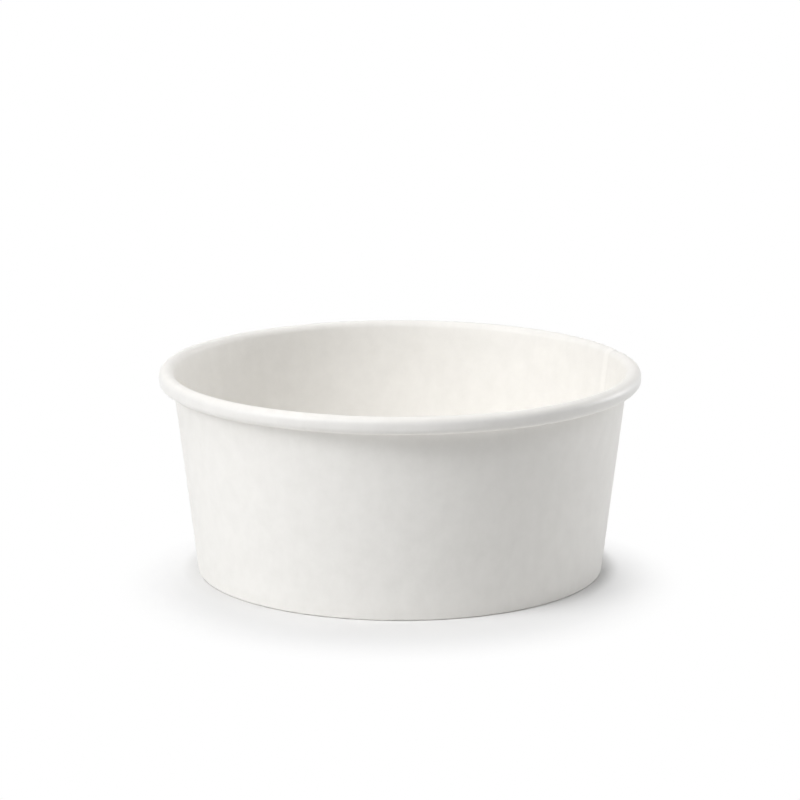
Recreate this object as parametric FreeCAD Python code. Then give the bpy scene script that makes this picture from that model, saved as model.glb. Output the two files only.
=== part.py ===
"""A shallow paper sundae cup, made of two pieces of coated paperboard, in millimetres.

The side wall is one fan-shaped blank, wrapped into a cone and sealed where its two ends lap. Its upper
edge is curled outward into the rim bead, and its lower edge is folded inward and up into a hem. The
bottom disc is drawn into a shallow cap, whose skirt hangs down and is held between the wall and the hem.

+Z is up. The origin is on the cup's axis, on the table that the foot stands on.
"""

import FreeCAD, Part
import math
import os

os.makedirs("parts", exist_ok=True)

# Sizes of the cup
rim_diameter = 98.0  # over the outside of the bead
base_diameter = 82.5  # outer face of the wall, carried down to the table
cup_height = 42.0  # from the table to the top of the bead
board = 0.4  # thickness of the paperboard

# Rolled bead
bead_width = 3.1  # from the inside of the cup to the outside of the bead
bead_height = 3.4  # from the top of the bead to its underside
curl_end_angle = 150.0  # degrees that the lower half of the curl turns before the sheet ends

# Bottom disc and foot
floor_height = 9.2  # from the table to the top face of the disc
disc_bend = 0.6  # inside radius where the disc turns down into its skirt
hem_to_disc = 1.2  # from the cut edge of the hem up to the underside of the disc
fold_radius = 0.05  # inside radius of the pressed fold that the cup stands on
glue_gap = 0.05  # left between sheets that are sealed face to face

# Lapped seam of the wall
seam_overlap = 7.0  # width of the lap, measured at the base
seam_step = 2.5  # length over which the sheet steps out by its own thickness, at the base
seam_angle = 20.0  # degrees from +X towards +Y, where the cut edge shows inside the cup
fold_ease = 0.15  # how much wider the fold's pocket is where the lap adds a layer

# Values worked out from the sizes above
rim_radius = rim_diameter / 2
base_radius = base_diameter / 2
upper_curl_radius = bead_width / 2
lower_curl_radius = (bead_width - 2 * board) / (1 - math.cos(math.radians(curl_end_angle)))
curl_centre_r = rim_radius - upper_curl_radius
curl_centre_z = cup_height - upper_curl_radius

# The wall's outer face leaves the base and runs tangent to the inner face of the curl
run_r = curl_centre_r - base_radius
taper = math.atan2(run_r, curl_centre_z) - math.asin(
    (upper_curl_radius - board) / math.hypot(run_r, curl_centre_z)
)
channel = board + 2 * glue_gap  # width of the fold's pocket, which holds the skirt
hem_top = floor_height - board - hem_to_disc

Z_AXIS = FreeCAD.Vector(0, 0, 1)
CENTRE = FreeCAD.Vector(0, 0, 0)


def point(r, z):
    """A point of a section, at radius r and height z in the XZ plane."""
    return FreeCAD.Vector(r, 0, z)


def polar(centre, radius, degrees):
    """The point of a section's arc at an angle, counted from the outward direction towards +Z."""
    angle = math.radians(degrees)
    return centre + point(radius * math.cos(angle), radius * math.sin(angle))


def line(start, end):
    return Part.LineSegment(start, end).toShape()


def arc(centre, radius, start, end):
    """An arc of a section between two angles in degrees."""
    middle = polar(centre, radius, (start + end) / 2)
    return Part.Arc(polar(centre, radius, start), middle, polar(centre, radius, end)).toShape()


def wall_inside(z):
    """Radius of the wall's inner face at height z."""
    return base_radius - board / math.cos(taper) + z * math.tan(taper)


def sheet_side(below, layers):
    """One face of the wall, from the end of the curl down to the hem's cut edge.

    below is how many layers of board lie between the cup's inner face and this one. layers is how
    many there are from the inner face down to the table in the fold.
    """
    tilt = math.degrees(taper)
    depth = below * board
    upper = point(curl_centre_r, curl_centre_z)
    lower = point(rim_radius - lower_curl_radius, cup_height - bead_height + lower_curl_radius)
    fold_z = layers * board + fold_radius
    outer_fold = point(wall_inside(fold_z) - fold_radius / math.cos(taper), fold_z)
    pocket = channel - fold_radius + (layers - 1) * fold_ease
    inner_fold = point(wall_inside(board + fold_radius) - pocket / math.cos(taper), fold_z)
    upper_r = upper_curl_radius - depth
    lower_r = lower_curl_radius - depth
    fold_r = fold_radius + depth
    hem_start = polar(inner_fold, fold_r, -180 - tilt)
    hem_end = hem_start + point(math.tan(taper), 1) * (hem_top - hem_start.z)
    return [
        arc(lower, lower_r, -curl_end_angle, 0),
        line(polar(lower, lower_r, 0), polar(upper, upper_r, 0)),
        arc(upper, upper_r, 0, 180 - tilt),
        line(polar(upper, upper_r, 180 - tilt), polar(outer_fold, fold_r, -tilt)),
        arc(outer_fold, fold_r, -tilt, -90),
        line(polar(outer_fold, fold_r, -90), polar(inner_fold, fold_r, -90)),
        arc(inner_fold, fold_r, -90, -180 - tilt),
        line(hem_start, hem_end),
    ]


def wall_section(inner_layer, outer_layer):
    """Closed outline of the wall from one layer of board to another, counted from inside the cup."""
    inner = sheet_side(inner_layer, outer_layer)
    outer = sheet_side(outer_layer, outer_layer)
    curl_end = line(inner[0].firstVertex(True).Point, outer[0].firstVertex(True).Point)
    hem_end = line(inner[-1].lastVertex(True).Point, outer[-1].lastVertex(True).Point)
    return Part.Wire(Part.__sortEdges__([*inner, hem_end, *outer, curl_end]))


def turned(shape, degrees):
    """A copy of a shape, turned about the cup's axis."""
    copy = shape.copy()
    copy.rotate(CENTRE, Z_AXIS, degrees)
    return copy


def swept(wire, start, end):
    """The solid that a section sweeps about the cup's axis between two angles."""
    return Part.Face(turned(wire, start)).revolve(CENTRE, Z_AXIS, end - start)


def make_side_wall():
    """The wrapped blank: a plain turn, a step outward by one thickness, and the sealed lap."""
    lap_angle = math.degrees(seam_overlap / base_radius)
    step_angle = math.degrees(seam_step / base_radius)
    single = wall_section(0, 1)
    stepped_out = wall_section(1, 2)
    doubled = wall_section(0, 2)
    plain = swept(single, lap_angle, 360 - step_angle)
    lap = swept(doubled, 0, lap_angle)
    sections = [turned(single, -step_angle), stepped_out]
    step = Part.makeLoft(sections, True, True)
    wall = plain.fuse([step, lap]).removeSplitter()
    return turned(wall, seam_angle).Solids[0]


def make_bottom_disc():
    """The drawn cap: a flat floor, a bend, and a skirt that follows the wall down into the fold."""
    tilt = math.degrees(taper)
    bend_outside = disc_bend + board
    bend_z = floor_height - bend_outside
    skirt_face = wall_inside(bend_z) - glue_gap / math.cos(taper)
    bend = point(skirt_face - bend_outside / math.cos(taper), bend_z)
    skirt_end = 2 * board + glue_gap
    outer_end = point(wall_inside(skirt_end) - glue_gap / math.cos(taper), skirt_end)
    inner_end = outer_end - point(board / math.cos(taper), 0)
    top_centre = point(0, floor_height)
    under_centre = point(0, floor_height - board)
    edges = [
        line(top_centre, polar(bend, bend_outside, 90)),
        arc(bend, bend_outside, 90, -tilt),
        line(polar(bend, bend_outside, -tilt), outer_end),
        line(outer_end, inner_end),
        line(inner_end, polar(bend, disc_bend, -tilt)),
        arc(bend, disc_bend, -tilt, 90),
        line(polar(bend, disc_bend, 90), under_centre),
        line(under_centre, top_centre),
    ]
    return Part.Face(Part.Wire(edges)).revolve(CENTRE, Z_AXIS, 360)


pieces = {"side_wall": make_side_wall(), "bottom_disc": make_bottom_disc()}
for name, solid in pieces.items():
    solid.exportStep(f"parts/{name}.step")
    box = solid.BoundBox
    print(f"{name}: valid {solid.isValid()}, {solid.Volume:.1f} mm3, z {box.ZMin:.3f} to {box.ZMax:.3f}")
print(f"wall taper {math.degrees(taper):.3f} degrees")
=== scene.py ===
# %% [markdown]
# # A paper sundae cup
# A paper cup is two pieces of thin, coated board. One long blank is wrapped into the wall, curled over at
# the top and folded under at the bottom, and a drawn disc is held in that fold as the floor.
# Both pieces are built here as real sheets, with a thickness, two faces and cut edges, because a cup looks
# like paper mainly at its edges: the roll of the rim, the lap of the seam and the fold at the foot.
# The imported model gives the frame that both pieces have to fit.

# %% Load the frame
import math
import random

import bmesh
import bpy
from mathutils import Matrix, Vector


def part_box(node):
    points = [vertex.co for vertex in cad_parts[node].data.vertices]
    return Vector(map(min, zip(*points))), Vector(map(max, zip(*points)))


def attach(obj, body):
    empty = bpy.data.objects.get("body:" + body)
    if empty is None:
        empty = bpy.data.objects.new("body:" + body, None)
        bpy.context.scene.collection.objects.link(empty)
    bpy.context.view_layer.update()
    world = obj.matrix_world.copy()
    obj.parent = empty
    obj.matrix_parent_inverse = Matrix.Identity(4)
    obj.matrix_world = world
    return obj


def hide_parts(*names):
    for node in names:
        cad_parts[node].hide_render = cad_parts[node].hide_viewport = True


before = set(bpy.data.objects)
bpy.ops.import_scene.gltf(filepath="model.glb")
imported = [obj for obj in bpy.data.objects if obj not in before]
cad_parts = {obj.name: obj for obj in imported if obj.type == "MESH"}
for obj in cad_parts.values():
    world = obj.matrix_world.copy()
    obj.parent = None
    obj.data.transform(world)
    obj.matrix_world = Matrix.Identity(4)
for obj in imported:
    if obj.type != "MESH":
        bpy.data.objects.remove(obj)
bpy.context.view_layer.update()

print("frame nodes:", sorted(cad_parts))

# %% [markdown]
# ## Sizes
# What the frame already knows is read from it: the rim, the height and the floor. The rest are the sizes
# of the folding and curling, which no box can tell, so they are named here once. Blender counts in metres
# and a cup maker in millimetres, so the cup's own lengths are written as numbers of MM.

# %% Name the sizes
MM = 0.001
wall_low, wall_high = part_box("side_wall")
disc_low, disc_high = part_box("bottom_disc")
rim_radius = (wall_high.y - wall_low.y) / 2
cup_height = wall_high.z
floor_height = disc_high.z
skirt_end = disc_low.z

board = 0.4 * MM  # thickness of the sheet
base_radius = 41.25 * MM  # outer face of the wall, carried down to the table
bead_width = 3.1 * MM
bead_height = 3.4 * MM
curl_end_angle = 150.0  # degrees that the lower half of the curl turns before the sheet ends
disc_bend = 0.6 * MM  # inside radius where the disc turns down into its skirt
hem_to_disc = 1.2 * MM  # from the cut edge of the hem up to the underside of the disc
fold_radius = 0.05 * MM  # inside radius of the pressed fold that the cup stands on
glue_gap = 0.05 * MM  # between sheets that are sealed face to face
seam_overlap = 7.0 * MM
seam_step = 2.5 * MM  # length over which the sheet steps out by its own thickness
seam_angle = 20.0  # degrees from +X towards +Y, where the cut edge shows inside the cup
fold_ease = 0.15 * MM  # how much wider the fold is where the lap adds a layer
print(f"rim radius {rim_radius / MM:.2f} mm, height {cup_height / MM:.2f} mm")

# %% [markdown]
# ## Camera
# The cup is seen from a little above its rim with a long lens, so its sides stay nearly straight. The
# place and the lens come from fitting the ellipses of the rim and the foot. The camera is made first,
# because every later choice of detail depends on how large a millimetre is in the picture.

# %% Make the camera
camera_distance = 0.6755  # metres in front of the cup's axis
camera_height = 0.1842  # metres over the table
camera_pitch = 12.476  # degrees down from level
view_width = 13.405  # degrees across the picture

camera_data = bpy.data.cameras.new("camera")
camera_data.sensor_width = 36.0
camera_data.angle = math.radians(view_width)
camera = bpy.data.objects.new("camera", camera_data)
camera.location = (0, -camera_distance, camera_height)
camera.rotation_euler = (math.radians(90 - camera_pitch), 0, 0)
bpy.context.collection.objects.link(camera)
bpy.context.scene.camera = camera
print(f"lens {camera_data.lens:.1f} mm")

# %% [markdown]
# ## The section of the wall
# Cut through the wall and the sheet is one line: the curl of the rim, the straight wall, the fold that the
# cup stands on, and the hem that runs back up inside. Bends in board are arcs, and the two faces of the
# sheet keep the same centres, so one function can give either face from its depth in the sheet.

# %% Work out the taper
upper_curl = bead_width / 2
lower_curl = (bead_width - 2 * board) / (1 - math.cos(math.radians(curl_end_angle)))
curl_r = rim_radius - upper_curl
curl_z = cup_height - upper_curl
run_r = curl_r - base_radius
lean = math.asin((upper_curl - board) / math.hypot(run_r, curl_z))
taper = math.atan2(run_r, curl_z) - lean
channel = board + 2 * glue_gap
hem_top = floor_height - board - hem_to_disc
print(f"taper {math.degrees(taper):.2f} degrees, curl {lower_curl / MM:.2f} mm in radius")


def wall_inside(z):
    """Radius of the wall's inner face at height z."""
    return base_radius - board / math.cos(taper) + z * math.tan(taper)


# %% Sample lines and arcs
def arc_points(centre, radius, start, end, count):
    """Points along an arc, from start to end in degrees, as (radius, height) pairs."""
    angles = [math.radians(start + (end - start) * i / count) for i in range(count + 1)]
    return [(centre[0] + radius * math.cos(a), centre[1] + radius * math.sin(a)) for a in angles]


def line_points(start, end, count):
    """Points between two points of the section, without the two ends."""
    steps = [i / count for i in range(1, count)]
    return [(start[0] + (end[0] - start[0]) * s, start[1] + (end[1] - start[1]) * s) for s in steps]


# %% Draw one face of the sheet
CURL_POINTS = 18
WALL_POINTS = 14
FOLD_POINTS = 4
HEM_POINTS = 5


def sheet_face(rim_depth, foot_depth, fold_height):
    """One face of the sheet, from the end of the curl to the cut edge of the hem.

    The depths say how far the face lies from the cup's inner face, in the curl and in the fold.
    fold_height is how high that inner face passes over the table in the fold.
    """
    tilt = math.degrees(taper)
    lower = (rim_radius - lower_curl, cup_height - bead_height + lower_curl)
    fold_z = fold_height + fold_radius
    outer_fold = (wall_inside(fold_z) - fold_radius / math.cos(taper), fold_z)
    pocket = channel - fold_radius + (fold_height / board - 1) * fold_ease
    inner_fold = (wall_inside(board + fold_radius) - pocket / math.cos(taper), fold_z)
    bead = arc_points(lower, lower_curl - rim_depth, -curl_end_angle, 0, CURL_POINTS)
    bead += arc_points((curl_r, curl_z), upper_curl - rim_depth, 0, 180 - tilt, CURL_POINTS)
    fold = arc_points(outer_fold, fold_radius + foot_depth, -tilt, -90, FOLD_POINTS)
    turn_up = arc_points(inner_fold, fold_radius + foot_depth, -90, -180 - tilt, FOLD_POINTS)
    rise = hem_top - turn_up[-1][1]
    hem_end = (turn_up[-1][0] + rise * math.tan(taper), hem_top)
    hem = [*line_points(turn_up[-1], hem_end, HEM_POINTS), hem_end]
    return bead + line_points(bead[-1], fold[0], WALL_POINTS) + fold + turn_up + hem


face_length = len(sheet_face(0, 0, board))
print("points along one face:", face_length)

# %% [markdown]
# ## The wrap
# Going once round, the blank has to climb onto its own beginning. It runs at one level for almost a whole
# turn, steps outward by its own thickness, and then lies on itself for the width of the seal. Modelling
# the wall as this open spiral, and not as a closed ring with a strip on it, gives the seam its true look:
# a cut edge on each side of the sheet, and a soft ramp beside it. The seam is sealed hot between two
# bars, and the rim is rolled afterwards, so the doubled board is squeezed thinner, most of all in the
# bead. The bar inside the cup also presses the cut edge there into a wide, nearly flat wedge. Outside,
# the edge keeps more of its height and stays crisp.

# %% Follow the sheet round the cup
lap_angle = math.degrees(seam_overlap / base_radius)
step_angle = math.degrees(seam_step / base_radius)
whole_turn = 360 + lap_angle
layer_gap = 0.01 * MM
rim_squeeze = 0.46  # share of its thickness that doubled board loses in the bead
foot_squeeze = 0.12
inside_wedge = 1.8 * MM  # width over which the cut edge inside the cup is pressed thin
inside_pinch = 0.88  # share of its thickness that the very edge loses
outside_wedge = 0.8 * MM
outside_pinch = 0.62


def ease(x):
    """A smooth step from 0 to 1."""
    x = min(max(x, 0.0), 1.0)
    return x * x * (3 - 2 * x)


def end_layer(turn):
    """How far the sheet has stepped out over its own beginning, from 0 to 1 layer."""
    return ease((turn - 360 + step_angle) / step_angle)


def start_layer(turn):
    """How far the beginning of the sheet still lies over its other end, from 1 to 0 layers."""
    return 1 - ease((turn - lap_angle) / step_angle)


def face_depths(turn, squeeze):
    """Depths of the sheet's two faces, where doubled board loses that share of its thickness."""
    doubled = start_layer(turn) + end_layer(turn)
    thickness = board * (1 - squeeze * doubled)
    near = end_layer(turn) * (thickness + layer_gap)
    from_start = math.radians(turn) * base_radius
    to_end = math.radians(whole_turn - turn) * base_radius
    start_pinch = inside_pinch * thickness * (1 - ease(from_start / inside_wedge))
    end_pinch = outside_pinch * thickness * (1 - ease(to_end / outside_wedge))
    return near + start_pinch, near + thickness - end_pinch


def fold_height_at(turn):
    """How high the sheet's inner face passes over the table in the fold."""
    doubled = start_layer(turn) + end_layer(turn)
    thickness = board * (1 - foot_squeeze * doubled)
    return thickness + doubled * (thickness + layer_gap)


print(f"lap {lap_angle:.1f} degrees, step {step_angle:.1f} degrees")
print("faces at the cut edge:", [round(depth / MM, 3) for depth in face_depths(0, rim_squeeze)])

# %% [markdown]
# ## What the machine leaves
# No rolled rim is a perfect ring. The board springs back a little, so the bead wanders by about a tenth
# of a millimetre in height and in width. The folded foot isn't flat either: it stands on a few
# places and lifts by about a tenth of a millimetre between them, which draws a fine dark line along the
# table. A few whole-number waves round the cup, with phases from a seeded generator, give all this
# without a visible repeat, and they always meet at the end of the turn.

# %% Make the closed waves
dice = random.Random(23)
wave_sizes = (0.4, 1.0)  # range of the sizes of the single waves, before they are scaled
CONTACT_SAMPLES = 720


def closed_wave(lowest, highest):
    """A smooth wave round the cup, between -1 and 1, with that range of whole-number periods."""
    parts = [(n, dice.uniform(0, math.tau), dice.uniform(*wave_sizes)) for n in range(lowest, highest)]
    total = sum(size for _, _, size in parts)
    return lambda angle: sum(size * math.cos(n * angle + phase) for n, phase, size in parts) / total


rim_wave = closed_wave(3, 12)
height_wave = closed_wave(2, 14)
roll_wave = closed_wave(9, 40)
wall_wave = closed_wave(4, 18)

bead_wander = 0.12 * MM  # in and out
bead_dip = 0.14 * MM  # down
bead_roll = 0.05 * MM  # the bead's own height
wall_bulge = 0.10 * MM
rim_oval = 0.10 * MM
foot_lift = 0.16 * MM
foot_reach = 3.0 * MM  # height over which the lift of the foot fades out
foot_wave = closed_wave(3, 15)
foot_contact = min(foot_wave(math.tau * i / CONTACT_SAMPLES) for i in range(CONTACT_SAMPLES))
print(f"the foot's wave runs down to {foot_contact:.2f}, where the cup touches the table")


def as_made(r, z, angle):
    """Moves a point of the true section to where the machine would have left it."""
    up = z / cup_height
    bead = ease((z - cup_height + 2 * bead_height) / bead_height)
    r -= rim_oval * up * up * (1 + math.cos(2 * angle)) / 2
    r -= bead * bead_wander * (1 + rim_wave(angle)) / 2
    r -= (1 - bead) * wall_bulge * math.sin(math.pi * up) * (1 + wall_wave(angle)) / 2
    z -= bead * bead_dip * (1 + height_wave(angle)) / 2
    z += bead * bead_roll * roll_wave(angle) * (z - curl_z) / bead_height
    z += ease(1 - z / foot_reach) * foot_lift * max(foot_wave(angle) - foot_contact, 0) / 2
    return r, z


# %% [markdown]
# ## The wall
# The mesh is a loop of section points for every step of the turn: down the inner face of the sheet and
# back up the outer one. Under the cup, the hem keeps the fine ribs of the roller that pressed it onto the
# skirt. Quads join neighbouring loops, and the first and last loops are closed as the two cut ends of the
# blank. The flat blank's own measures go into a UV map in millimetres, so that the grain of the paper can
# follow the sheet round its bends.

# %% Shape one section of the wall
knurl_pitch = 2.4  # degrees of turn from rib to rib
knurl_depth = 0.06 * MM
knurl_rise = 4.0  # the ribs reach their depth in a quarter of the hem's height
knurl_at_edge = 0.4  # how far they have already risen at the cut edge, from 0 to 1 and before easing


def path_lengths(points):
    """Distance along a row of section points, from its first."""
    out = [0.0]
    for a, b in zip(points, points[1:]):
        out.append(out[-1] + math.dist(a, b))
    return out


sheet_lengths = path_lengths(sheet_face(0, 0, board))


def knurl(index, turn):
    """How far the exposed hem is pressed in by the ribbed sealing roller, at a point of the face."""
    along = (index - face_length + HEM_POINTS) / HEM_POINTS
    rib = 0.5 + 0.5 * math.cos(math.tau * turn / knurl_pitch)
    return knurl_depth * rib * ease(knurl_rise * along) * ease(knurl_rise * (1 - along) + knurl_at_edge)


def section_loop(turn):
    """The closed outline of the sheet after so many degrees of turn, as points in space."""
    depths = zip(face_depths(turn, rim_squeeze), face_depths(turn, foot_squeeze))
    inner, outer = [sheet_face(rim, foot, fold_height_at(turn)) for rim, foot in depths]
    angle = math.radians(seam_angle + turn)
    outer = [(r + knurl(i, turn), z) for i, (r, z) in enumerate(outer)]
    loop = [as_made(r, z, angle) for r, z in inner + outer[::-1]]
    return [Vector((r * math.cos(angle), r * math.sin(angle), z)) for r, z in loop]


print(f"the sheet is {sheet_lengths[-1] / MM:.1f} mm deep from cut edge to cut edge")

# %% Turn section loops into a sheet
COATED, OUTER, EDGE = 0, 1, 2


def sheet_mesh(name, loops, side, blank_place):
    """A sheet from its section loops, with its faces sorted into coated, outer and cut edge.

    side is how many points one face of the sheet has. blank_place gives where a point of a loop lies
    on the flat blank, in millimetres. The mesh comes back still open for editing, with the function
    that adds a face to it.
    """
    mesh = bpy.data.meshes.new(name)
    bm = bmesh.new()
    uv = bm.loops.layers.uv.new("sheet")
    rows = [[bm.verts.new(p) for p in loop] for loop in loops]
    count = len(loops[0])

    def add_face(corners, finish):
        face = bm.faces.new([rows[i][j] for i, j in corners])
        face.material_index = finish
        face.smooth = True
        for corner, (i, j) in zip(face.loops, corners):
            corner[uv].uv = blank_place(i, j if j < side else count - 1 - j)

    for i in range(len(rows) - 1):
        for j in range(count):
            k = (j + 1) % count
            cut = j == side - 1 or j == count - 1
            finish = EDGE if cut else COATED if j < side else OUTER
            add_face([(i, j), (i, k), (i + 1, k), (i + 1, j)], finish)
    return mesh, bm, add_face


def finish_mesh(mesh, bm):
    """Turns every face outward, creases the cut edges and writes the mesh as an object."""
    bmesh.ops.recalc_face_normals(bm, faces=bm.faces)
    for edge in bm.edges:
        if len({face.material_index for face in edge.link_faces}) > 1:
            edge.smooth = False
    bm.to_mesh(mesh)
    bm.free()
    piece = bpy.data.objects.new(mesh.name, mesh)
    bpy.context.collection.objects.link(piece)
    return piece


# %% Build the wall blank
TURN_STEPS = 600
WEDGE_STEPS = 8
head_end = math.degrees(inside_wedge / base_radius)
tail_start = whole_turn - math.degrees(outside_wedge / base_radius)
head = [head_end * i / WEDGE_STEPS for i in range(WEDGE_STEPS)]
middle = [head_end + (tail_start - head_end) * i / TURN_STEPS for i in range(TURN_STEPS)]
tail = [tail_start + (whole_turn - tail_start) * i / WEDGE_STEPS for i in range(WEDGE_STEPS + 1)]
turns = head + middle + tail
mean_radius = (rim_radius + base_radius) / 2
wall_loops = [section_loop(turn) for turn in turns]


def wall_place(i, j):
    """Where a point of the wall lies on its flat blank, in millimetres."""
    return math.radians(turns[i]) * mean_radius / MM, sheet_lengths[j] / MM


mesh, bm, add_face = sheet_mesh("wall_blank", wall_loops, face_length, wall_place)
last = 2 * face_length - 1
for i in (0, len(turns) - 1):
    for j in range(face_length - 1):
        add_face([(i, j), (i, j + 1), (i, last - j - 1), (i, last - j)], EDGE)
wall = finish_mesh(mesh, bm)
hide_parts("side_wall")
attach(wall, "root")
print("wall blank faces:", len(wall.data.polygons))

# %% [markdown]
# ## The bottom disc
# The floor is a round blank pushed through a die: flat in the middle, turned down at the edge. Flat board
# can't shrink, so the spare length round the skirt gathers into many fine pleats, sharper towards its cut
# edge. It is turned like the wall, but it closes on itself, so its last loop is its first. Its UV map is
# that of the flat round blank, so the grain runs straight across the floor and not out from its middle.

# %% Shape one section of the disc
FLOOR_POINTS = 14
BEND_POINTS = 6
SKIRT_POINTS = 6
floor_dish = 0.12 * MM
dish_wander = 0.3  # share by which the dish varies round the disc
pleat_depth = 0.03 * MM
pleat_wave = closed_wave(70, 110)
floor_wave = closed_wave(2, 7)
hub_radius = 0.5 * MM  # a small flat middle, so that no sliver triangles meet in one point


def disc_face(depth):
    """One face of the disc, from its middle out over the bend and down the skirt."""
    tilt = math.degrees(taper)
    bend_outside = disc_bend + board
    bend_z = floor_height - bend_outside
    skirt_face = wall_inside(bend_z) - glue_gap / math.cos(taper)
    bend = (skirt_face - bend_outside / math.cos(taper), bend_z)
    curve = arc_points(bend, bend_outside - depth, 90, -tilt, BEND_POINTS)
    foot_r = wall_inside(skirt_end) - (glue_gap + depth) / math.cos(taper)
    foot = (foot_r, skirt_end)
    middle = (hub_radius, floor_height - depth)
    flat = [middle, *line_points(middle, curve[0], FLOOR_POINTS)]
    return flat + curve + [*line_points(curve[-1], foot, SKIRT_POINTS), foot]


disc_lengths = path_lengths(disc_face(0))


def as_drawn(r, z, angle):
    """Adds the disc's slight dish and the pleats of its skirt to a point of the true section."""
    across = min(r / base_radius, 1.0)
    dish = floor_dish * (1 - across**2) * (1 + dish_wander * across * floor_wave(angle))
    down = ease((floor_height - z) / (floor_height - skirt_end))
    return r - pleat_depth * down * (1 + pleat_wave(angle)) / 2, z - dish


def disc_loop(angle):
    """The outline of the disc's sheet at one angle, as points in space."""
    loop = [as_drawn(r, z, angle) for r, z in disc_face(0) + disc_face(board)[::-1]]
    return [Vector((r * math.cos(angle), r * math.sin(angle), z)) for r, z in loop]


print(f"the disc's blank is {2 * (hub_radius + disc_lengths[-1]) / MM:.0f} mm across")

# %% Build the disc
DISC_STEPS = 480
hub_slack = 1.01  # faces within this share of the hub's radius count as the hub
weld_distance = 0.001 * MM
blank_centre = 100.0  # in millimetres on the blank, well away from the wall's curl and first cut end
disc_angles = [math.tau * i / DISC_STEPS for i in range(DISC_STEPS + 1)]
disc_loops = [disc_loop(angle) for angle in disc_angles]


def disc_place(i, j):
    """Where a point of the disc lies on its flat round blank, in millimetres."""
    reach = (hub_radius + disc_lengths[j]) / MM
    return blank_centre + reach * math.cos(disc_angles[i]), blank_centre + reach * math.sin(disc_angles[i])


mesh, bm, _ = sheet_mesh("floor_disc", disc_loops, len(disc_lengths), disc_place)
hub_reach = hub_slack * hub_radius
hub_faces = [face for face in bm.faces if all(v.co.xy.length < hub_reach for v in face.verts)]
bmesh.ops.delete(bm, geom=hub_faces, context="FACES_ONLY")
bmesh.ops.remove_doubles(bm, verts=bm.verts, dist=weld_distance)
bmesh.ops.holes_fill(bm, edges=[edge for edge in bm.edges if edge.is_boundary])
disc_map = bm.loops.layers.uv["sheet"]
for face in bm.faces:
    # Only the two faces that now fill the hub have more than four corners
    if len(face.verts) > 4:
        on_top = face.verts[0].co.z > floor_height - floor_dish - board / 2
        face.material_index = COATED if on_top else OUTER
        for corner in face.loops:
            corner[disc_map].uv = [blank_centre + distance / MM for distance in corner.vert.co.xy]
disc = finish_mesh(mesh, bm)
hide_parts("bottom_disc")
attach(disc, "root")
print("disc faces:", len(disc.data.polygons))

# %% [markdown]
# ## Helpers for nodes
# A finish is a tree of nodes, and most of its branches are a little arithmetic on a noise or on a place.
# A few helpers keep each effect to some lines: one starts a node group, one does sums, and two read the
# flat blank and lay a noise on it, stretched as paper's grain is.

# %% Make the node helpers
def new_group(name, inputs, outputs):
    """A shader node group with named float inputs and outputs."""
    group = bpy.data.node_groups.new(name, "ShaderNodeTree")
    for label, value in inputs.items():
        socket = group.interface.new_socket(label, in_out="INPUT", socket_type="NodeSocketFloat")
        socket.default_value = value
    for label in outputs:
        group.interface.new_socket(label, in_out="OUTPUT", socket_type="NodeSocketFloat")
    return group, group.nodes.new("NodeGroupInput"), group.nodes.new("NodeGroupOutput")


def math_node(tree, operation, first, second):
    """A Math node, whose operands are numbers or sockets."""
    node = tree.nodes.new("ShaderNodeMath")
    node.operation = operation
    for socket, value in zip(node.inputs, (first, second)):
        if isinstance(value, (int, float)):
            socket.default_value = value
        else:
            tree.links.new(value, socket)
    return node.outputs[0]


def sheet_place(tree):
    """The place on the flat blank, in millimetres: X round the cup, Y from the curled edge."""
    node = tree.nodes.new("ShaderNodeUVMap")
    node.uv_map = "sheet"
    return node.outputs["UV"]


def stretched_noise(tree, place, across, along, detail, roughness):
    """A noise's value, with so many of its cells to a millimetre of the blank in X and in Y."""
    mapping = tree.nodes.new("ShaderNodeMapping")
    mapping.inputs["Scale"].default_value = (across, along, 1.0)
    tree.links.new(place, mapping.inputs["Vector"])
    noise = tree.nodes.new("ShaderNodeTexNoise")
    noise.inputs["Scale"].default_value = 1.0
    noise.inputs["Detail"].default_value = detail
    noise.inputs["Roughness"].default_value = roughness
    tree.links.new(mapping.outputs["Vector"], noise.inputs["Vector"])
    return noise.outputs["Fac"]


# %% [markdown]
# ## Paper fibres
# White board looks flat from a step away, but it is a felt of fibres. Seen close, the fibres give a fine
# grain along the sheet, and the uneven felt gives soft clouds some millimetres wide. Each is a noise that
# is stretched more one way than the other. Both faces and the cut edge need this at different strengths,
# so it is one node group that reads the sheet's own UV map and gives out values only.

# %% Build the fibre group
long_share = 0.6  # how much of the grain is of fibres that lie along the sheet
fibre_group, given, result = new_group("paper_fibres", {"Felt": 1.0}, ("Fibres", "Clouds", "Height"))
place = sheet_place(fibre_group)
long_fibres = stretched_noise(fibre_group, place, across=7.0, along=1.1, detail=4.0, roughness=0.62)
cross_fibres = stretched_noise(fibre_group, place, across=1.3, along=5.0, detail=3.0, roughness=0.60)
clouds = stretched_noise(fibre_group, place, across=0.30, along=0.21, detail=4.0, roughness=0.68)
long_fibres = math_node(fibre_group, "MULTIPLY", long_fibres, long_share)
cross_fibres = math_node(fibre_group, "MULTIPLY", cross_fibres, 1 - long_share)
fibres = math_node(fibre_group, "ADD", long_fibres, cross_fibres)
height = math_node(fibre_group, "MULTIPLY", clouds, given.outputs["Felt"])
height = math_node(fibre_group, "ADD", height, fibres)
fibre_group.links.new(fibres, result.inputs["Fibres"])
fibre_group.links.new(clouds, result.inputs["Clouds"])
fibre_group.links.new(height, result.inputs["Height"])
print("fibre group nodes:", len(fibre_group.nodes))

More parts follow.
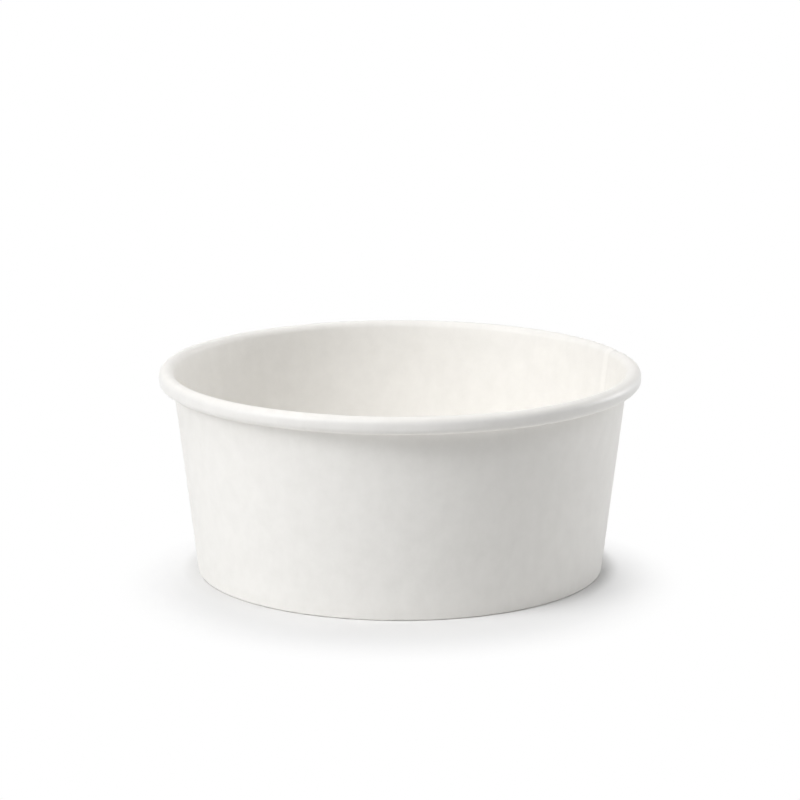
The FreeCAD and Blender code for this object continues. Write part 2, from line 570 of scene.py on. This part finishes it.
# %% [markdown]
# ## Curl creases, painted shade and painted highlight
# Rolling the rim stretches the board round a tight bend, and fine creases run across the whole curl. A
# band round the outside of the curl is tinted a little greyer and bluer, which is painted shade for the
# darker side of the bead, and it takes a thin clear gloss. Over the last two millimetres beside the cut
# edge inside, where the hot sealing bar presses the seam, the coating is painted lighter as a painted
# highlight. All of it follows the sheet's own length and width, so this group makes the masks from the
# same UV map.

# %% Measure the curl, its shaded band and the seam's painted highlight
shade_gloss_below = 30.0  # degrees of the curl's lower half under the band of painted shade and gloss
shade_gloss_above = 60.0  # degrees of its upper half that the band of painted shade and gloss reaches into
curl_length = sheet_lengths[2 * CURL_POINTS + 1] / MM
shade_gloss_start = lower_curl * math.radians(curl_end_angle - shade_gloss_below) / MM
shade_gloss_end = (sheet_lengths[CURL_POINTS + 1] + upper_curl * math.radians(shade_gloss_above)) / MM
curl_fade = 1.25  # this and the next two in millimetres, as the UV map is
# Width and fade of the painted highlight beside the inner cut edge
seam_highlight_width = 2.1
seam_highlight_fade = 0.7
print(f"curl takes up {curl_length:.1f} mm of the sheet, rubbed from {shade_gloss_start:.1f} to {shade_gloss_end:.1f} mm")

# %% Build the group of creases and painted light
strengths = {"Creasing": 1.0, "SeamHighlightStrength": 1.0}
crease_and_light_group, given, result = new_group("sheet_creases_and_painted_light", strengths, ("PaintedShadeAndGloss", "Creases", "SeamHighlight"))
place = sheet_place(crease_and_light_group)
parts = crease_and_light_group.nodes.new("ShaderNodeSeparateXYZ")
crease_and_light_group.links.new(place, parts.inputs["Vector"])


def fade_before(length, direction, fade_length):
    """A mask of the sheet up to a length, in Y from its curled edge or in X from its first cut end."""
    left = math_node(crease_and_light_group, "SUBTRACT", length, parts.outputs[direction])
    fade = math_node(crease_and_light_group, "DIVIDE", left, fade_length)
    fade.node.use_clamp = True
    return fade


up_to_start, up_to_end, on_curl = [
    fade_before(length, "Y", curl_fade) for length in (shade_gloss_start, shade_gloss_end, curl_length)
]
# Painted shade and gloss: the band round the outside of the curl, which the finish tints greyer as painted
# shade and gives a thin clear coat
painted_shade_and_gloss = math_node(crease_and_light_group, "SUBTRACT", up_to_end, up_to_start)
creases = stretched_noise(crease_and_light_group, place, across=2.2, along=0.12, detail=5.0, roughness=0.65)
creases = math_node(crease_and_light_group, "MULTIPLY", creases, on_curl)
creases = math_node(crease_and_light_group, "MULTIPLY", creases, given.outputs["Creasing"])
# Painted highlight: the strip beside the inner cut edge, which the finish lightens as if the pressed seam
# caught the light
pressed = fade_before(seam_highlight_width, "X", seam_highlight_fade)
pressed = math_node(crease_and_light_group, "MULTIPLY", pressed, given.outputs["SeamHighlightStrength"])
for label, mask in (("PaintedShadeAndGloss", painted_shade_and_gloss), ("Creases", creases), ("SeamHighlight", pressed)):
    crease_and_light_group.links.new(mask, result.inputs[label])
print("strain group nodes:", len(crease_and_light_group.nodes))

# %% [markdown]
# ## The board's finishes
# Cup board is bleached and thinly coated. The face inside the cup, which also shows on the outside of the
# curl, is the smoother one. Round the outside of the curl it takes a greyer, slightly bluer tone, which is
# painted shade, and a thin clear gloss. Beside the cut edge inside it takes the lighter of its two tones,
# which is a painted highlight on the seam. The outer face is a little more open, and a cut edge shows the
# raw felt. Each is a Principled material with the shared groups in it, and differs in its numbers.

# %% Place groups and mix colours
def placed(tree, group):
    """A node group placed in a material."""
    node = tree.nodes.new("ShaderNodeGroup")
    node.node_tree = group
    return node


def mixed_colour(tree, blend, factor, first, second):
    """A Mix node of colours, with a socket for its factor. The colours are triples or sockets."""
    node = tree.nodes.new("ShaderNodeMix")
    node.data_type = "RGBA"
    node.blend_type = blend
    tree.links.new(factor, node.inputs["Factor"])
    for label, colour in (("A", first), ("B", second)):
        if isinstance(colour, tuple):
            node.inputs[label].default_value = (*colour, 1.0)
        else:
            tree.links.new(colour, node.inputs[label])
    return node.outputs["Result"]


# %% Describe a finish of board
coating_ior = 1.48
roughness_spread = 0.16  # range over which the grain varies the roughness
band_coat_roughness = 0.34


def board_finish(name, light, shade, roughness, grain, felt, curl=None):
    """A material of coated board: its two near tones, its mean roughness and its surface relief.

    curl is for the face that shows on the bead. It gives the tint of painted shade and the gloss of the
    band round the curl, the creases' relief, and how far the painted highlight on the seam goes to the
    light tone.
    """
    material = bpy.data.materials.new(name)
    material.use_nodes = True
    tree = material.node_tree
    shader = tree.nodes["Principled BSDF"]
    shader.inputs["IOR"].default_value = coating_ior
    fibres = placed(tree, fibre_group)
    fibres.inputs["Felt"].default_value = felt
    tone = mixed_colour(tree, "MIX", fibres.outputs["Clouds"], shade, light)
    height = fibres.outputs["Height"]
    if curl:
        crease_and_light = placed(tree, crease_and_light_group)
        crease_and_light.inputs["Creasing"].default_value = curl["creasing"]
        crease_and_light.inputs["SeamHighlightStrength"].default_value = curl["seam_highlight"]
        # Painted highlight: the strip beside the inner cut edge goes over to the light tone
        tone = mixed_colour(tree, "MIX", crease_and_light.outputs["SeamHighlight"], tone, light)
        # Painted shade: the band round the outside of the curl is tinted greyer and a little bluer
        tone = mixed_colour(tree, "MULTIPLY", crease_and_light.outputs["PaintedShadeAndGloss"], tone, curl["painted_shade_tint"])
        shine = math_node(tree, "MULTIPLY", crease_and_light.outputs["PaintedShadeAndGloss"], curl["shine"])
        tree.links.new(shine, shader.inputs["Coat Weight"])
        shader.inputs["Coat Roughness"].default_value = band_coat_roughness
        height = math_node(tree, "ADD", height, crease_and_light.outputs["Creases"])
    tree.links.new(tone, shader.inputs["Base Color"])

    spread = math_node(tree, "MULTIPLY", fibres.outputs["Fibres"], roughness_spread)
    spread = math_node(tree, "ADD", spread, roughness - roughness_spread / 2)
    tree.links.new(spread, shader.inputs["Roughness"])
    bump = tree.nodes.new("ShaderNodeBump")
    bump.inputs["Distance"].default_value = grain
    tree.links.new(height, bump.inputs["Height"])
    tree.links.new(bump.outputs["Normal"], shader.inputs["Normal"])
    return material


# %% Make the three finishes
coated_face = board_finish(
    "coated_face", light=(0.970, 0.952, 0.919), shade=(0.860, 0.844, 0.811),
    roughness=0.50, grain=0.010 * MM, felt=1.6,
    # The curl's tint is painted shade on the outside of the bead, and the lightening of the pressed strip
    # is a painted highlight on the seam
    curl={"painted_shade_tint": (0.890, 0.898, 0.915), "shine": 0.6, "creasing": 1.5, "seam_highlight": 0.75},
)
outer_face = board_finish(
    "outer_face", light=(0.926, 0.919, 0.902), shade=(0.820, 0.813, 0.794),
    roughness=0.62, grain=0.014 * MM, felt=1.2,
)
cut_edge = board_finish(
    "cut_edge", light=(0.90, 0.885, 0.86), shade=(0.85, 0.83, 0.79),
    roughness=0.9, grain=0.03 * MM, felt=0.5,
)
for piece in (wall, disc):
    for material in (coated_face, outer_face, cut_edge):
        piece.data.materials.append(material)
print("finishes:", [material.name for material in wall.data.materials])

# %% [markdown]
# ## Floor and backdrop
# The cup stands on a seamless white ground, with only the soft shadow round its foot to see. The floor is
# a plain diffuse plane, a little greyer to the camera than in the light it throws back, so that the
# shadow keeps its depth while the wall is still filled from below. Away from the cup it fades into plain
# white for camera and glossy rays, so no horizon shows, but a narrow contact shadow always stays round
# the foot. The ground is clear from below and where the foot covers it, so that the underside can be
# looked at.

# %% Lay the floor
floor_size = 12.0  # metres
mesh = bpy.data.meshes.new("floor")
bm = bmesh.new()
bmesh.ops.create_grid(bm, x_segments=4, y_segments=4, size=floor_size / 2)
bm.to_mesh(mesh)
bm.free()
floor = bpy.data.objects.new("floor", mesh)
bpy.context.collection.objects.link(floor)
print(f"ground {floor_size:.0f} m wide")

# %% Shade the ground
seen_grey = (0.80, 0.80, 0.80, 1.0)
bounced_white = (0.905, 0.895, 0.875, 1.0)
shadow_centre = (0, -12 * MM, 0)
shadow_reach = 30 * MM  # up to here from that centre the shadow shows in full
white_reach = 58 * MM  # and from here on the ground is plain white
contact_reach = 4 * MM

paper_white = bpy.data.materials.new("white_ground")
paper_white.use_nodes = True
tree = paper_white.node_tree
tree.nodes.clear()
rays = tree.nodes.new("ShaderNodeLightPath")
geometry = tree.nodes.new("ShaderNodeNewGeometry")

seen = tree.nodes.new("ShaderNodeBsdfDiffuse")
seen.inputs["Color"].default_value = seen_grey
bounced = tree.nodes.new("ShaderNodeBsdfDiffuse")
bounced.inputs["Color"].default_value = bounced_white
near = tree.nodes.new("ShaderNodeMixShader")
tree.links.new(rays.outputs["Is Camera Ray"], near.inputs["Fac"])
tree.links.new(bounced.outputs["BSDF"], near.inputs[1])
tree.links.new(seen.outputs["BSDF"], near.inputs[2])


def fade_out(centre, start, end):
    """A smooth rise from 0 to 1 with the distance from a point of the floor."""
    distance = tree.nodes.new("ShaderNodeVectorMath")
    distance.operation = "DISTANCE"
    distance.inputs[1].default_value = centre
    tree.links.new(geometry.outputs["Position"], distance.inputs[0])
    fade = tree.nodes.new("ShaderNodeMapRange")
    fade.interpolation_type = "SMOOTHSTEP"
    fade.inputs["From Min"].default_value = start
    fade.inputs["From Max"].default_value = end
    tree.links.new(distance.outputs["Value"], fade.inputs["Value"])
    return fade.outputs["Result"]


wide = fade_out(shadow_centre, shadow_reach, white_reach)
close = fade_out((0, 0, 0), base_radius, base_radius + contact_reach)
either = math_node(tree, "MAXIMUM", rays.outputs["Is Camera Ray"], rays.outputs["Is Glossy Ray"])
far = math_node(tree, "MULTIPLY", math_node(tree, "MULTIPLY", wide, close), either)
white = tree.nodes.new("ShaderNodeEmission")
white.inputs["Strength"].default_value = 1.0
ground = tree.nodes.new("ShaderNodeMixShader")
tree.links.new(far, ground.inputs["Fac"])
tree.links.new(near.outputs["Shader"], ground.inputs[1])
tree.links.new(white.outputs["Emission"], ground.inputs[2])
print("nodes that shade the ground:", len(tree.nodes))

# %% Clear what the foot covers
covered_radius = 40 * MM
output = tree.nodes.new("ShaderNodeOutputMaterial")
clear = tree.nodes.new("ShaderNodeBsdfTransparent")
uncovered = fade_out((0, 0, 0), covered_radius, covered_radius + MM)
covered = math_node(tree, "SUBTRACT", 1.0, uncovered)
two_sided = tree.nodes.new("ShaderNodeMixShader")
see_through = math_node(tree, "MAXIMUM", geometry.outputs["Backfacing"], covered)
tree.links.new(see_through, two_sided.inputs["Fac"])
tree.links.new(ground.outputs["Shader"], two_sided.inputs[1])
tree.links.new(clear.outputs["BSDF"], two_sided.inputs[2])
tree.links.new(two_sided.outputs["Shader"], output.inputs["Surface"])
floor.data.materials.append(paper_white)
print(f"clear from below and within {covered_radius / MM:.0f} mm of the axis")

# %% [markdown]
# ## Light
# White on white needs light that comes from nearly everywhere, with one side a little stronger, so that
# the wall turns from bright to grey as it goes round. The key and a lower lamp beside it on the left do
# that. A high lamp on either side fills the inside, a low one behind on the right draws the far edge, and
# one behind whitens the ground, which then fills the cup from below. The levels are set so that a level
# white sheet beside the cup renders at about its own colour. The last lamp is under the ground, and only
# reaches the underside through the clear part of the floor.

# %% Place the lamps
aim = Vector((0, 0, cup_height / 2))
lamp_distance = 1.4  # metres
lamp_size = 0.6  # metres


def softbox(name, azimuth, elevation, power):
    """A square area lamp aimed at the cup. Azimuth 0 is on the camera's side, and 90 is to its right."""
    lamp = bpy.data.lights.new(name, "AREA")
    lamp.shape = "SQUARE"
    lamp.size = lamp_size
    lamp.energy = power
    a, e = math.radians(azimuth), math.radians(elevation)
    toward = Vector((math.sin(a) * math.cos(e), -math.cos(a) * math.cos(e), math.sin(e)))
    holder = bpy.data.objects.new(name, lamp)
    holder.location = aim + toward * lamp_distance
    holder.rotation_mode = "QUATERNION"
    holder.rotation_quaternion = toward.to_track_quat("Z", "Y")
    bpy.context.collection.objects.link(holder)


softbox("key_left", -60, 35, 8.0)
softbox("low_left", -75, 15, 2.9)
softbox("fill_left", -30, 60, 7.1)
softbox("fill_right", 60, 50, 3.6)
softbox("low_right", 120, 12, 6.0)
softbox("behind", 180, 60, 4.3)
softbox("under_ground", 0, -60, 14.0)
print("lamps:", sorted(lamp.name for lamp in bpy.data.lights))

# %% Whiten the background
world = bpy.data.worlds.new("studio")
bpy.context.scene.world = world
world.use_nodes = True
tree = world.node_tree
tree.nodes.clear()
output = tree.nodes.new("ShaderNodeOutputWorld")
rays = tree.nodes.new("ShaderNodeLightPath")
backdrop = tree.nodes.new("ShaderNodeBackground")
seen_directly = math_node(tree, "MAXIMUM", rays.outputs["Is Camera Ray"], rays.outputs["Is Glossy Ray"])
tree.links.new(seen_directly, backdrop.inputs["Strength"])
tree.links.new(backdrop.outputs["Background"], output.inputs["Surface"])
bpy.context.scene.view_settings.view_transform = "Standard"
print("background nodes:", len(tree.nodes))
